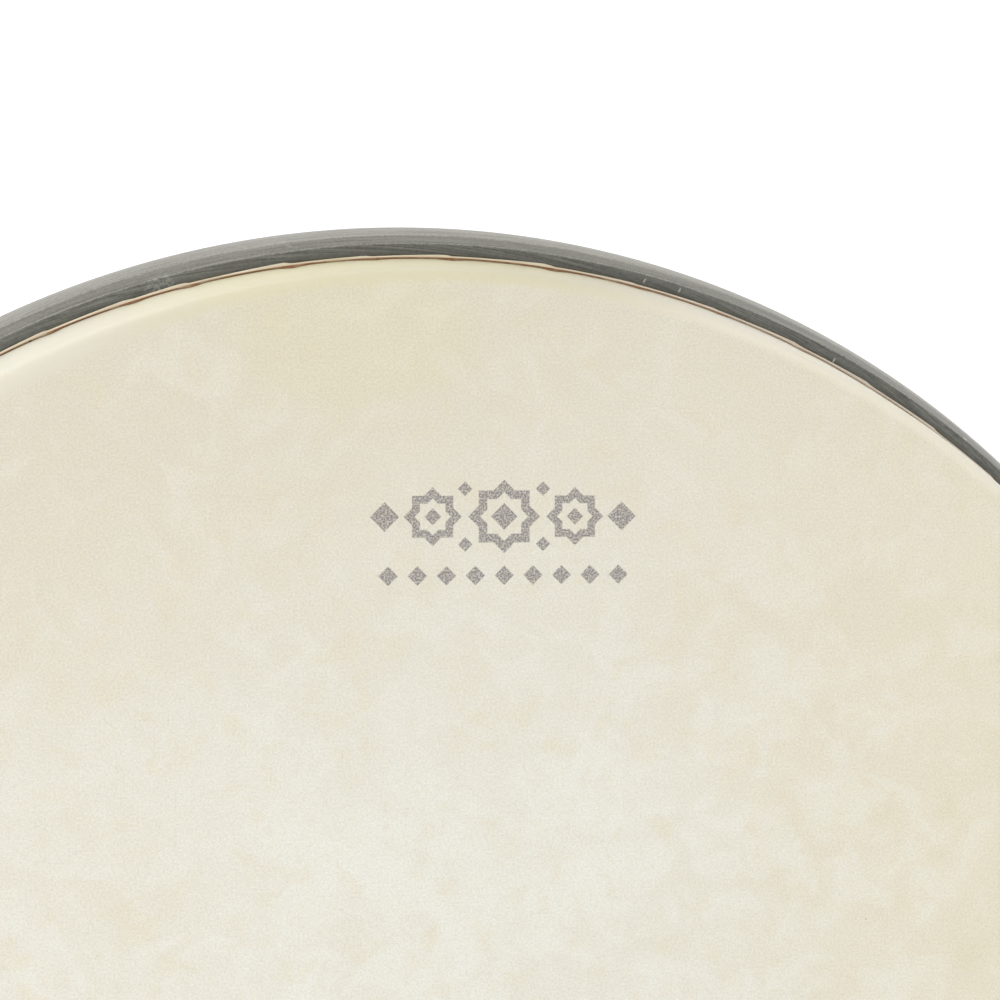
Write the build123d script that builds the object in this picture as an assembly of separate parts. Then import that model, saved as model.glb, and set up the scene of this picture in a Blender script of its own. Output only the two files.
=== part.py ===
from build123d import *
import math
import os

# Darbuka, a goblet drum: a spun aluminium body with a 22 cm synthetic calf-look head.
# The head's film is bonded with resin into the groove of a slim turned hoop. Eight screws
# under the body's flange pull the hoop down over the bearing edge and so tune the drum.
# Millimetres, +Z up, origin on the floor at the centre of the foot. Outlines are (radius, height).

# Driving dimensions of the whole drum
HEIGHT = 430.0  # floor to the top of the head
WALL = 2.0  # spun aluminium

# Head film and bearing edge
FILM = 0.4  # thickness of the film
HEAD_GAP = 0.3  # slack left between the film and the bearing edge
CROWN_FLAT_R = 105.6  # where the bearing edge starts to round over
CROWN_ROUND = 1.2  # rounding of the bearing edge
THROAT_BORE_R = 102.5
CROWN_BEVEL = 3.0  # bevel inside the bearing edge, height and width
COLLAR_ANGLE = 77.5  # slope of the film's collar, degrees below level
COLLAR_RUN = 9.4  # straight length of the collar
COLLAR_BEND = 6.0  # radius where the collar turns down into the hoop's groove
TAIL_DROP = 15.0  # depth of the film's lower edge under the head

# Hoop (tension ring) that holds the film
HOOP_BORE_R = 107.3
HOOP_R = 113.7
HOOP_BASE_DROP = 27.5  # depth of its lower face under the head
HOOP_SHOULDER_DROP = 17.5  # depth where the wall starts to lean in
HOOP_SHOULDER_ROUND = 20.0  # radius of that leaning wall
LAND_DROP = 9.7  # depth of its flat top
LAND_R = 111.1  # outer edge of the flat top
GROOVE_IN_R = 108.6
GROOVE_OUT_R = 109.7
GROOVE_DROP = 15.6  # depth of the groove's floor
GROOVE_LIP_DROP = 11.2  # depth of the groove's lower inner lip
RESIN_DROP = 9.9  # depth of the resin's top
HOOP_EDGE = 0.5  # chamfer at the hoop's foot

# Flange of the bearing ring and the spigot that the bowl fits over
FLANGE_DROP = 33.5  # depth of the flange's top under the head
FLANGE = 5.0  # thickness
FLANGE_R = 114.1
FLANGE_EDGE = 0.6  # chamfer at the flange's rim
SPIGOT_DROP = 52.0

# Tuning screws, M4 x 0.7, with steel inserts in the hoop
SCREWS = 8
SCREW_CIRCLE_R = 110.5
SCREW_R = 2.0
SCREW_TIP_DROP = 17.9
SCREW_TIP_CHAMFER = 0.4
SCREW_HEAD_R = 3.5
SCREW_HEAD = 4.0  # height of the head
SCREW_HEAD_EDGE = 0.4  # chamfer round the head's free end
KEY_ACROSS_FLATS = 3.0
KEY_DEPTH = 2.2
FLANGE_HOLE_R = 2.08
WASHER = 0.8  # thickness
WASHER_R = 3.6
WASHER_HOLE_R = 2.15
INSERT_R = 2.5
INSERT_BORE_R = 2.05
INSERT = 8.5  # length
HOOP_HOLE_DROP = 17.3  # depth of the blind end of each screw hole in the hoop

# Bowl
BOWL_R = 105.0
BOWL_STRAIGHT_BASE = 318.0  # height where the straight wall ends
SHOULDER_ROUND = 70.0
SHOULDER_SWEEP = 55.0  # degrees of arc before the wall bends back into the neck
NECK_BEND = 60.0
BOWL_SPIGOT_BASE = 185.0  # lower end of the neck inside the foot
BOWL_LINES = (372.0, 367.0, 362.0, 332.0, 327.0, 322.0)  # heights of the lines turned round it

# Foot
FOOT_TOP = 210.0
FOOT_STRAIGHT_BASE = 165.0  # lower end of the straight waist
FLARE_ROUND = 300.0
FLARE_SWEEP = 30.2  # degrees of arc of the flare
LIP_BEND = 8.0  # radius where the flare turns down into the lip
LIP_BASE = 3.0  # lower edge of the lip, inside the rubber trim
TRIM_SIDE = 1.5  # rubber beside the lip
TRIM_ROUND = 0.7
FOOT_LINES = (52.0, 46.0, 40.0)  # heights of the lines turned round the flare

# Round nose of the tool that turned the lines into the bowl and the foot, and its depth of cut
LINE_CUT_R = 1.1
LINE_DEPTH = 0.5

# Band that covers the joint of bowl and foot
BAND_BASE = 194.0
BAND_TOP = 213.0
BAND_WALL = 2.4
BAND_LIP_R = 49.9  # the band's upper edge closes on the neck
BEAD = 1.6  # radius of the two raised beads
BEAD_INSET = 2.2  # from the band's edges

# Rivets
NECK_RIVETS = 8
NECK_RIVET_HEIGHT = 203.0
FLANGE_RIVETS = 8
FLANGE_RIVET_DROP = 45.5
RIVET_R = 1.6
RIVET_HEAD_R = 3.0
RIVET_DOME = 1.2  # height of the domed head
RIVET_TAIL = 0.9  # height of the flattened tail

# Places worked out from the above
CROWN_TOP = HEIGHT - FILM - HEAD_GAP
CROWN_OUT_R = CROWN_FLAT_R + CROWN_ROUND
CROWN_CENTRE = (CROWN_FLAT_R, CROWN_TOP - CROWN_ROUND)
FLANGE_TOP = HEIGHT - FLANGE_DROP
FLANGE_BASE = FLANGE_TOP - FLANGE
SPIGOT_BASE = HEIGHT - SPIGOT_DROP
HOOP_BASE = HEIGHT - HOOP_BASE_DROP
SCREW_SEAT = FLANGE_BASE - WASHER
FLANGE_RIVET_TURN = 180 / FLANGE_RIVETS  # the rivets sit midway between the tuning screws
SHOULDER_CENTRE = (BOWL_R - SHOULDER_ROUND, BOWL_STRAIGHT_BASE)


def along(centre, radius, degrees):
    """The point on a circle at an angle from the outward direction."""
    turn = math.radians(degrees)
    return (centre[0] + radius * math.cos(turn), centre[1] + radius * math.sin(turn))


NECK_CENTRE = along(SHOULDER_CENTRE, SHOULDER_ROUND + NECK_BEND, -SHOULDER_SWEEP)
NECK_R = NECK_CENTRE[0] - NECK_BEND
WAIST_R = NECK_R + WALL
FLARE_CENTRE = (WAIST_R + FLARE_ROUND, FOOT_STRAIGHT_BASE)
LIP_CENTRE = along(FLARE_CENTRE, FLARE_ROUND + LIP_BEND, 180 + FLARE_SWEEP)
LIP_R = LIP_CENTRE[0] + LIP_BEND
TRIM_TOP = LIP_CENTRE[1]
BAND_R = WAIST_R + BAND_WALL


def turned(*outline):
    """A solid turned about Z from the closed outline that the given edges make."""
    return revolve(Plane.XZ * make_face(Curve() + outline), Axis.Z)


def turned_corners(*corners):
    """A solid turned about Z from a closed outline of straight runs."""
    return turned(Polyline(*corners, close=True))


def around(count, shape, first=0.0):
    """Copies of a shape, evenly spaced about Z."""
    return [Rot(Z=first + 360 * turn / count) * shape for turn in range(count)]


def screw_places(shape):
    """One copy of a shape on each tuning screw's axis. The shape's own axis is Z through 0,0."""
    return around(SCREWS, Pos(X=SCREW_CIRCLE_R) * shape)


def peg(radius, base, top):
    """A round peg on Z between two heights."""
    return Pos(Z=base) * Cylinder(radius, top - base, align=(Align.CENTER, Align.CENTER, Align.MIN))


def rivet(inner_r, outer_r, height):
    """A domed rivet that points outward along X, through walls between two radii."""
    tail_seat = math.sqrt(inner_r**2 - RIVET_HEAD_R**2)
    dome_round = (RIVET_HEAD_R**2 + RIVET_DOME**2) / (2 * RIVET_DOME)
    head = peg(RIVET_HEAD_R, outer_r, outer_r + RIVET_DOME)
    head &= Pos(Z=outer_r + RIVET_DOME - dome_round) * Sphere(dome_round)
    shank = peg(RIVET_R, tail_seat, outer_r)
    tail = peg(RIVET_HEAD_R - RIVET_TAIL, tail_seat - RIVET_TAIL, tail_seat)
    return Pos(Z=height) * Rot(Y=90) * (tail + shank + head)


def rivet_holes(count, outer_r, height, first):
    """Pegs that cut the rivets' holes, from the axis out to a radius."""
    return around(count, Pos(Z=height) * Rot(Y=90) * peg(RIVET_R, 0, outer_r), first)


def line_cut(wall_r, height):
    """The ring that cuts one turned line into a wall of a given radius."""
    return Pos(Z=height) * Torus(wall_r + LINE_CUT_R - LINE_DEPTH, LINE_CUT_R)


def flare_r(height):
    """Outer radius of the foot's flare at a height."""
    return FLARE_CENTRE[0] - math.sqrt(FLARE_ROUND**2 - (FLARE_CENTRE[1] - height) ** 2)


def neck_rivet_holes():
    return rivet_holes(NECK_RIVETS, FLANGE_R, NECK_RIVET_HEIGHT, 0)


def flange_rivet_holes():
    return rivet_holes(FLANGE_RIVETS, FLANGE_R, HEIGHT - FLANGE_RIVET_DROP, FLANGE_RIVET_TURN)


def make_bearing_ring():
    """The turned ring with the bearing edge, the flange and the spigot for the bowl."""
    spigot_r = BOWL_R - WALL
    body = turned(
        Line((THROAT_BORE_R, SPIGOT_BASE), (spigot_r, SPIGOT_BASE)),
        Line((spigot_r, SPIGOT_BASE), (spigot_r, FLANGE_BASE)),
        Line((spigot_r, FLANGE_BASE), (FLANGE_R - FLANGE_EDGE, FLANGE_BASE)),
        Line((FLANGE_R - FLANGE_EDGE, FLANGE_BASE), (FLANGE_R, FLANGE_BASE + FLANGE_EDGE)),
        Line((FLANGE_R, FLANGE_BASE + FLANGE_EDGE), (FLANGE_R, FLANGE_TOP - FLANGE_EDGE)),
        Line((FLANGE_R, FLANGE_TOP - FLANGE_EDGE), (FLANGE_R - FLANGE_EDGE, FLANGE_TOP)),
        Line((FLANGE_R - FLANGE_EDGE, FLANGE_TOP), (CROWN_OUT_R, FLANGE_TOP)),
        Line((CROWN_OUT_R, FLANGE_TOP), (CROWN_OUT_R, CROWN_CENTRE[1])),
        CenterArc(CROWN_CENTRE, CROWN_ROUND, 0, 90),
        Line((CROWN_FLAT_R, CROWN_TOP), (THROAT_BORE_R + CROWN_BEVEL, CROWN_TOP)),
        Line((THROAT_BORE_R + CROWN_BEVEL, CROWN_TOP), (THROAT_BORE_R, CROWN_TOP - CROWN_BEVEL)),
        Line((THROAT_BORE_R, CROWN_TOP - CROWN_BEVEL), (THROAT_BORE_R, SPIGOT_BASE)),
    )
    return body - screw_places(peg(FLANGE_HOLE_R, FLANGE_BASE, FLANGE_TOP)) - flange_rivet_holes()


def make_bowl_shell():
    """The spun bowl, from the flange down to the neck that plugs into the foot."""
    bore_r = BOWL_R - WALL
    neck_bore_r = NECK_R - WALL
    neck_top = NECK_CENTRE[1]
    neck_start = 180 - SHOULDER_SWEEP
    body = turned(
        Line((BOWL_R, FLANGE_BASE), (BOWL_R, BOWL_STRAIGHT_BASE)),
        CenterArc(SHOULDER_CENTRE, SHOULDER_ROUND, 0, -SHOULDER_SWEEP),
        CenterArc(NECK_CENTRE, NECK_BEND, neck_start, SHOULDER_SWEEP),
        Line((NECK_R, neck_top), (NECK_R, BOWL_SPIGOT_BASE)),
        Line((NECK_R, BOWL_SPIGOT_BASE), (neck_bore_r, BOWL_SPIGOT_BASE)),
        Line((neck_bore_r, BOWL_SPIGOT_BASE), (neck_bore_r, neck_top)),
        CenterArc(NECK_CENTRE, NECK_BEND + WALL, neck_start, SHOULDER_SWEEP),
        CenterArc(SHOULDER_CENTRE, SHOULDER_ROUND - WALL, 0, -SHOULDER_SWEEP),
        Line((bore_r, BOWL_STRAIGHT_BASE), (bore_r, FLANGE_BASE)),
        Line((bore_r, FLANGE_BASE), (BOWL_R, FLANGE_BASE)),
    )
    turned_lines = [line_cut(BOWL_R, height) for height in BOWL_LINES]
    return body - turned_lines - flange_rivet_holes() - neck_rivet_holes()


def make_foot_shell():
    """The spun foot: a straight waist over the bowl's neck, then the flare and its lip."""
    flare_end = 180 + FLARE_SWEEP
    body = turned(
        Line((WAIST_R, FOOT_TOP), (WAIST_R, FOOT_STRAIGHT_BASE)),
        CenterArc(FLARE_CENTRE, FLARE_ROUND, 180, FLARE_SWEEP),
        CenterArc(LIP_CENTRE, LIP_BEND, FLARE_SWEEP, -FLARE_SWEEP),
        Line((LIP_R, TRIM_TOP), (LIP_R, LIP_BASE)),
        Line((LIP_R, LIP_BASE), (LIP_R - WALL, LIP_BASE)),
        Line((LIP_R - WALL, LIP_BASE), (LIP_R - WALL, TRIM_TOP)),
        CenterArc(LIP_CENTRE, LIP_BEND - WALL, 0, FLARE_SWEEP),
        CenterArc(FLARE_CENTRE, FLARE_ROUND + WALL, flare_end, -FLARE_SWEEP),
        Line((NECK_R, FOOT_STRAIGHT_BASE), (NECK_R, FOOT_TOP)),
        Line((NECK_R, FOOT_TOP), (WAIST_R, FOOT_TOP)),
    )
    return body - [line_cut(flare_r(height), height) for height in FOOT_LINES] - neck_rivet_holes()


def make_neck_band():
    """The turned band over the joint of bowl and foot, with a bead near each edge."""
    body = turned_corners(
        (WAIST_R, BAND_BASE),
        (BAND_R, BAND_BASE),
        (BAND_R, BAND_TOP),
        (BAND_LIP_R, BAND_TOP),
        (BAND_LIP_R, FOOT_TOP),
        (WAIST_R, FOOT_TOP),
    )
    for bead_height in (BAND_BASE + BEAD_INSET, BAND_TOP - BEAD_INSET):
        body += Pos(Z=bead_height) * Torus(BAND_R, BEAD)
    return body - neck_rivet_holes()


def make_foot_trim():
    """The rubber edging that the foot's lip is pressed into."""
    section = Plane.XZ * make_face(
        Polyline(
            (LIP_R - WALL - TRIM_SIDE, 0),
            (LIP_R + TRIM_SIDE, 0),
            (LIP_R + TRIM_SIDE, TRIM_TOP),
            (LIP_R - WALL - TRIM_SIDE, TRIM_TOP),
            close=True,
        )
    )
    section = fillet(section.vertices(), TRIM_ROUND)
    slot = turned_corners(
        (LIP_R - WALL, LIP_BASE),
        (LIP_R, LIP_BASE),
        (LIP_R, TRIM_TOP),
        (LIP_R - WALL, TRIM_TOP),
    )
    return revolve(section, Axis.Z) - slot


def film_edges(offset):
    """One face of the film's outline, from the axis to its lower edge.

    The offset is 0 for the face on the bearing edge and FILM for the played face."""
    crown_r = CROWN_ROUND + HEAD_GAP + offset
    bend_r = COLLAR_BEND - offset
    slope = 90 - COLLAR_ANGLE
    crown_end = along(CROWN_CENTRE, crown_r, slope)
    bend_centre = along(along(crown_end, bend_r, slope), COLLAR_RUN, slope - 90)
    bend_start = along(bend_centre, bend_r, 180 + slope)
    tail_r = bend_centre[0] - bend_r
    face_height = CROWN_CENTRE[1] + crown_r
    edges = [
        Line((0, face_height), (CROWN_FLAT_R, face_height)),
        CenterArc(CROWN_CENTRE, crown_r, slope, COLLAR_ANGLE),
        Line(crown_end, bend_start),
        CenterArc(bend_centre, bend_r, 180, slope),
        Line((tail_r, bend_centre[1]), (tail_r, HEIGHT - TAIL_DROP)),
    ]
    return edges, (0, face_height), (tail_r, HEIGHT - TAIL_DROP)


def make_head_film():
    """The drum head: a flat film with a collar that runs down into the hoop's groove."""
    under, under_start, under_end = film_edges(0)
    played, played_start, played_end = film_edges(FILM)
    return turned(*under, *played, Line(under_start, played_start), Line(under_end, played_end))


def make_tension_ring():
    """The turned aluminium hoop, with the groove for the film and blind holes for the inserts."""
    groove_floor = HEIGHT - GROOVE_DROP
    lip_top = HEIGHT - GROOVE_LIP_DROP
    land_top = HEIGHT - LAND_DROP
    shoulder_base = HEIGHT - HOOP_SHOULDER_DROP
    body = turned(
        Polyline(
            (LAND_R, land_top),
            (GROOVE_OUT_R, land_top),
            (GROOVE_OUT_R, groove_floor),
            (GROOVE_IN_R, groove_floor),
            (GROOVE_IN_R, lip_top),
            (HOOP_BORE_R, lip_top),
            (HOOP_BORE_R, HOOP_BASE),
            (HOOP_R - HOOP_EDGE, HOOP_BASE),
            (HOOP_R, HOOP_BASE + HOOP_EDGE),
            (HOOP_R, shoulder_base),
        ),
        RadiusArc((HOOP_R, shoulder_base), (LAND_R, land_top), -HOOP_SHOULDER_ROUND),
    )
    insert_hole = peg(INSERT_R, HOOP_BASE, HOOP_BASE + INSERT)
    screw_hole = peg(INSERT_BORE_R, HOOP_BASE, HEIGHT - HOOP_HOLE_DROP)
    return body - screw_places(insert_hole) - screw_places(screw_hole)


def make_head_resin(film):
    """The bead of resin that fills the groove round the film's edge."""
    film_middle_r = (GROOVE_IN_R + GROOVE_OUT_R) / 2
    bead = turned_corners(
        (GROOVE_IN_R, HEIGHT - GROOVE_DROP),
        (GROOVE_OUT_R, HEIGHT - GROOVE_DROP),
        (GROOVE_OUT_R, HEIGHT - RESIN_DROP),
        (film_middle_r, HEIGHT - RESIN_DROP),
        (film_middle_r, HEIGHT - GROOVE_LIP_DROP),
        (GROOVE_IN_R, HEIGHT - GROOVE_LIP_DROP),
    )
    return bead - film


def make_thread_inserts():
    """The steel inserts in the hoop that the tuning screws turn in."""
    insert = peg(INSERT_R, HOOP_BASE, HOOP_BASE + INSERT)
    bore = peg(INSERT_BORE_R, HOOP_BASE, HOOP_BASE + INSERT)
    return Compound(screw_places(insert - bore))


def make_bolt_washers():
    """The washers under the flange."""
    hole = peg(WASHER_HOLE_R, SCREW_SEAT, FLANGE_BASE)
    return Compound(screw_places(peg(WASHER_R, SCREW_SEAT, FLANGE_BASE) - hole))


def make_tuning_bolts():
    """The socket screws, one solid each. Their heads hang under the flange."""
    head_end = SCREW_SEAT - SCREW_HEAD
    head = peg(SCREW_HEAD_R, head_end, SCREW_SEAT)
    head = chamfer(head.edges().group_by(Axis.Z)[0], SCREW_HEAD_EDGE)
    shank = peg(SCREW_R, SCREW_SEAT, HEIGHT - SCREW_TIP_DROP)
    shank = chamfer(shank.edges().group_by(Axis.Z)[-1], SCREW_TIP_CHAMFER)
    key_corner_r = KEY_ACROSS_FLATS / math.sqrt(3)
    socket = extrude(Pos(Z=head_end) * RegularPolygon(key_corner_r, 6), KEY_DEPTH)
    return screw_places(head + shank - socket)


def make_neck_rivets():
    """The rivets through the band, the foot and the bowl's neck."""
    return Compound(around(NECK_RIVETS, rivet(NECK_R - WALL, BAND_R, NECK_RIVET_HEIGHT)))


def make_flange_rivets():
    """The rivets that hold the bowl on the bearing ring's spigot."""
    one = rivet(THROAT_BORE_R, BOWL_R, HEIGHT - FLANGE_RIVET_DROP)
    return Compound(around(FLANGE_RIVETS, one, FLANGE_RIVET_TURN))


def make_all():
    """Every sub-part of the drum by its name."""
    film = make_head_film()
    parts = {
        "bearing_ring": make_bearing_ring(),
        "flange_rivets": make_flange_rivets(),
        "bowl_shell": make_bowl_shell(),
        "foot_shell": make_foot_shell(),
        "neck_band": make_neck_band(),
        "neck_rivets": make_neck_rivets(),
        "foot_trim": make_foot_trim(),
        "bolt_washers": make_bolt_washers(),
        "tension_ring": make_tension_ring(),
        "thread_inserts": make_thread_inserts(),
        "head_film": film,
        "head_resin": make_head_resin(film),
    }
    for number, bolt in enumerate(make_tuning_bolts(), start=1):
        parts[f"tuning_bolt_{number}"] = bolt
    return parts


os.makedirs("parts", exist_ok=True)
for name, shape in make_all().items():
    export_step(shape, f"parts/{name}.step")
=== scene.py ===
import math

import bpy
import numpy as np
from mathutils import Matrix, Vector


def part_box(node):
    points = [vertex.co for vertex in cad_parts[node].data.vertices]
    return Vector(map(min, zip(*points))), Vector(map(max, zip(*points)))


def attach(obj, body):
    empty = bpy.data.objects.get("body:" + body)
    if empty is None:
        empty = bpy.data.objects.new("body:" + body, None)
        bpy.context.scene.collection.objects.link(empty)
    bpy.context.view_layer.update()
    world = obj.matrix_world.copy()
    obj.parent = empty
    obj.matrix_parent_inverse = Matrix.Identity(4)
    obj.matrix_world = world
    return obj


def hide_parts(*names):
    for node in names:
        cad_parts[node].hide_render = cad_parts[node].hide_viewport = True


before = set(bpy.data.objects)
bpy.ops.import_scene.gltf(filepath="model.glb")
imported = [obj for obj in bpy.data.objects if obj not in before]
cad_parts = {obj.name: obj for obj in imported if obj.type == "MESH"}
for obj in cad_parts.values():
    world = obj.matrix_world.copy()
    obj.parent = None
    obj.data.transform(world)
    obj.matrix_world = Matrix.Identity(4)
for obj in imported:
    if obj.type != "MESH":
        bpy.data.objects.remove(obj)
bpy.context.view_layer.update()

# Darbuka with a synthetic calf-look head in a slim turned hoop, on a pale studio floor.
# Outlines are in millimetres as (radius, height), as in the CAD model. Meshes are in metres.

MM = 0.001


def lowest(node):
    """Height of a CAD node's lowest point, in millimetres."""
    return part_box(node)[0].z / MM


def highest(node):
    """Height of a CAD node's highest point, in millimetres."""
    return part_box(node)[1].z / MM


def widest(node):
    """Outer radius of a round CAD node, in millimetres."""
    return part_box(node)[1].x / MM


# Heights and radii that the CAD model gives
HEAD = highest("head_film")
TAIL_END = lowest("head_film")
HOOP_R = widest("tension_ring")
LAND = highest("tension_ring")
HOOP_BASE = lowest("tension_ring")
GROOVE_FLOOR = lowest("head_resin")
GROOVE_OUT_R = widest("head_resin")
BOWL_R = widest("bowl_shell")
BOWL_TOP = highest("bowl_shell")
BOWL_SPIGOT_END = lowest("bowl_shell")
FOOT_TOP = highest("foot_shell")
LIP_R = widest("foot_shell")
LIP_END = lowest("foot_shell")
INSERT_TOP = highest("thread_inserts")
SCREW_TIP = highest("tuning_bolt_1")
SCREW_END = lowest("tuning_bolt_1")

# The film, as in the CAD model
FILM = 0.4
HEAD_GAP = 0.3
CROWN_FLAT_R = 105.6
CROWN_ROUND = 1.2
COLLAR_ANGLE = 77.5
COLLAR_RUN = 9.4
COLLAR_BEND = 6.0
FACE_RADII = (0.0, 30.0, 60.0, 85.0, 98.0, 103.0)  # rings of points on the flat of the head
CROWN_STEPS = 10
FILM_COLLAR_STEPS = 17
COLLAR_BEND_STEPS = 6
TAIL_POINTS = 8

# Creases round the collar, where the film is gathered into the hoop
CREASES = 66
CREASE_GAP = 2 * math.pi / CREASES
CREASE_SCATTER = 0.22  # how far a crease may lie off its place, as a share of the gap
CREASE_SEED = 7
CREASE_STRENGTH = (0.35, 1.0)  # from the weakest to the strongest
CREASE_DEPTH = 0.20
CREASE_WIDTH = 0.6  # degrees
CREASE_REACH = 3.0  # how far the creases run up the collar from the hoop's top
CREASE_FADE = 1.5  # power by which they fade out up the collar
ROUGHEST_SIDE = math.radians(135)  # the side where creases and resin are roughest
SMOOTH_SIDE = 0.15  # strength of the creases on the smoothest side, as a share
HEAD_COLUMNS = CREASES * 14  # columns of points round the head's meshes

# The resin bead between film and hoop
BEAD_TOP = (  # its top, as (out from the film, up from the hoop's top)
    (0.10, -0.04),
    (0.16, 0.04),
    (0.26, 0.08),
    (0.36, 0.06),
    (0.42, 0.005),
)
BEAD_FILM_SIDE = 0.12  # up to here from the film, the bead follows its creases
BEAD_EDGE = 0.15  # where its notched edge begins, out from the film
BEAD_EDGE_WIDTH = 0.25
BEAD_SWELL = 0.30  # how far the edge swells out at the strongest crease
BEAD_SHRINK = 0.04  # how far it stays back between creases
BEAD_DEEP = 0.2  # farther than this under the hoop's top, all of it follows them
BEAD_FADE = 1.5  # power by which the swelling fades towards the next crease
BEAD_STEEPNESS = 12  # of the step back at a crease
BEAD_OUT_DROP = 0.05  # how far under the hoop's top the resin meets the groove
BEAD_IN_DROP = 0.03  # and how far under it the resin meets the film
BEAD_UNDER_DROP = 0.05  # how far under the groove's lip the film comes out of the resin
BEAD_COLLAR_STEPS = 59
RESIN_GAP = 0.01  # between the resin and the groove's walls

# The hoop
HOOP_BORE_R = 107.3
HOOP_SHOULDER = HEAD - 17.5
HOOP_SHOULDER_ROUND = 20.0
LAND_R = 111.1
LAND_BEVEL = 0.12
LAND_BEVEL_DROP = 0.10
LAND_BEVEL_LEAN = 0.01  # how far the wall leans out from the flat top's edge to its bevel
WALL_STEP = HEAD - 12.1  # where the leaning wall turns from lighter to darker
WALL_STEP_DEPTH = 0.06
GROOVE_IN_R = 108.6
GROOVE_LIP = HEAD - 11.2
LIP_BEVEL = 0.2
BASE_BEVEL_IN = 0.3
BASE_BEVEL_OUT = 0.5
INSERT_R = 2.5
INSERT_BORE_R = 2.05
HOOP_HOLE_END = HEAD - 17.3
HOLE_PEG_OUT = 1.0  # how far the cutting pegs stand out below the hoop
HOLE_COLUMNS = 32
HOOP_WALL_STEPS = 60
HOOP_COLUMNS = 960

# The tuning screws, M4 x 0.7
SCREWS = 8
SCREW_CIRCLE_R = 110.5
PITCH = 0.7
THREAD_DEPTH = 0.38
THREAD_START = 1.0  # distance from the screw's head
THREAD_STOP = 0.5  # distance from its tip
THREAD_ROWS = 8  # for each turn of the thread
FLANK_SLOPE = 2.6
FLANK_START = 0.3
SCREW_R = 2.0
SCREW_FILLET = 0.25
SCREW_TIP_CUT = 0.55
SCREW_HEAD_R = 3.5
SCREW_HEAD = 4.0
SCREW_HEAD_EDGE = 0.5  # rounding of the lower end of its head
SCREW_HEAD_BEVEL = 0.1
SCREW_HEAD_PLAIN = 0.45  # height of the plain ring above the knurls
KNURLS = 36
KNURL_DEPTH = 0.09
KNURL_RUNOUT = 0.15  # height over which they run out into the plain ring
KEY_ACROSS_FLATS = 3.0
KEY_DEPTH = 2.2
KEY_CONE = 0.3
KEY_BEVEL = 0.15
AXIS_R = 0.02  # radius of the small caps that close a screw on its axis
SCREW_COLUMNS = 72

# Bowl and foot
WALL = 2.0
BOWL_STRAIGHT_BASE = 318.0
SHOULDER_ROUND = 70.0
SHOULDER_SWEEP = 55.0
NECK_BEND = 60.0
BOWL_LINES = (372.0, 367.0, 362.0, 332.0, 327.0, 322.0)
FOOT_STRAIGHT_BASE = 165.0
FLARE_ROUND = 300.0
FLARE_SWEEP = 30.2
LIP_BEND = 8.0
FOOT_LINES = (52.0, 46.0, 40.0)
LINE_CUT_R = 1.1
LINE_DEPTH = 0.5
LINE_POINTS = 15
HAMMERED_BASE = 336.5
HAMMERED_TOP = 357.5
HAMMER_MARKS = 120  # in each row round the bowl
HAMMER_ROWS = 4
HAMMER_DEPTH = 0.35
HAMMER_REACH = 0.56  # radius of a mark, as a share of the distance between rows
HAMMER_STEP = 0.7
BOWL_GAP = 2.0  # longest run between points down the bowl's wall
FOOT_GAP = 2.5
BOWL_COLUMNS = HAMMER_MARKS * 7
FOOT_COLUMNS = 480
BOWL_CURVE_STEPS = (40, 30)  # outside and inside
FLARE_STEPS = 50
LIP_STEPS = (10, 8)  # outside and inside

SHARP_EDGE = 35.0  # degrees between faces, past which a mesh's edge stays sharp


# ---------------------------------------------------------------- outlines


def arc(centre, radius, start, end, steps):
    """Points on an arc, with angles in degrees from the outward direction."""
    turns = np.radians(np.linspace(start, end, steps + 1))
    return [(centre[0] + radius * math.cos(a), centre[1] + radius * math.sin(a)) for a in turns]


def along(centre, radius, degrees):
    """The point on a circle at an angle from the outward direction."""
    return arc(centre, radius, degrees, degrees, 0)[0]


# Centres of the bowl's and foot's curves
SHOULDER = (BOWL_R - SHOULDER_ROUND, BOWL_STRAIGHT_BASE)
NECK = along(SHOULDER, SHOULDER_ROUND + NECK_BEND, -SHOULDER_SWEEP)
NECK_R = NECK[0] - NECK_BEND
WAIST_R = NECK_R + WALL
FLARE = (WAIST_R + FLARE_ROUND, FOOT_STRAIGHT_BASE)
LIP = along(FLARE, FLARE_ROUND + LIP_BEND, 180 + FLARE_SWEEP)


# ---------------------------------------------------------------- meshes


def linked_object(name, points, faces):
    """A new object in the scene, from points in millimetres."""
    mesh = bpy.data.meshes.new(name)
    mesh.from_pydata((np.asarray(points) * MM).tolist(), [], faces)
    made = bpy.data.objects.new(name, mesh)
    bpy.context.scene.collection.objects.link(made)
    return made


def mesh_piece(name, points, faces, body, material, node):
    """A shown piece that rides on a CAD body and stands in for one of its nodes."""
    piece = linked_object(name, points, faces)
    mesh = piece.data
    mesh.polygons.foreach_set("use_smooth", [True] * len(mesh.polygons))
    mesh.set_sharp_from_angle(angle=math.radians(SHARP_EDGE))
    mesh.materials.append(material)
    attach(piece, body)
    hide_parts(node)
    return piece


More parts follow.
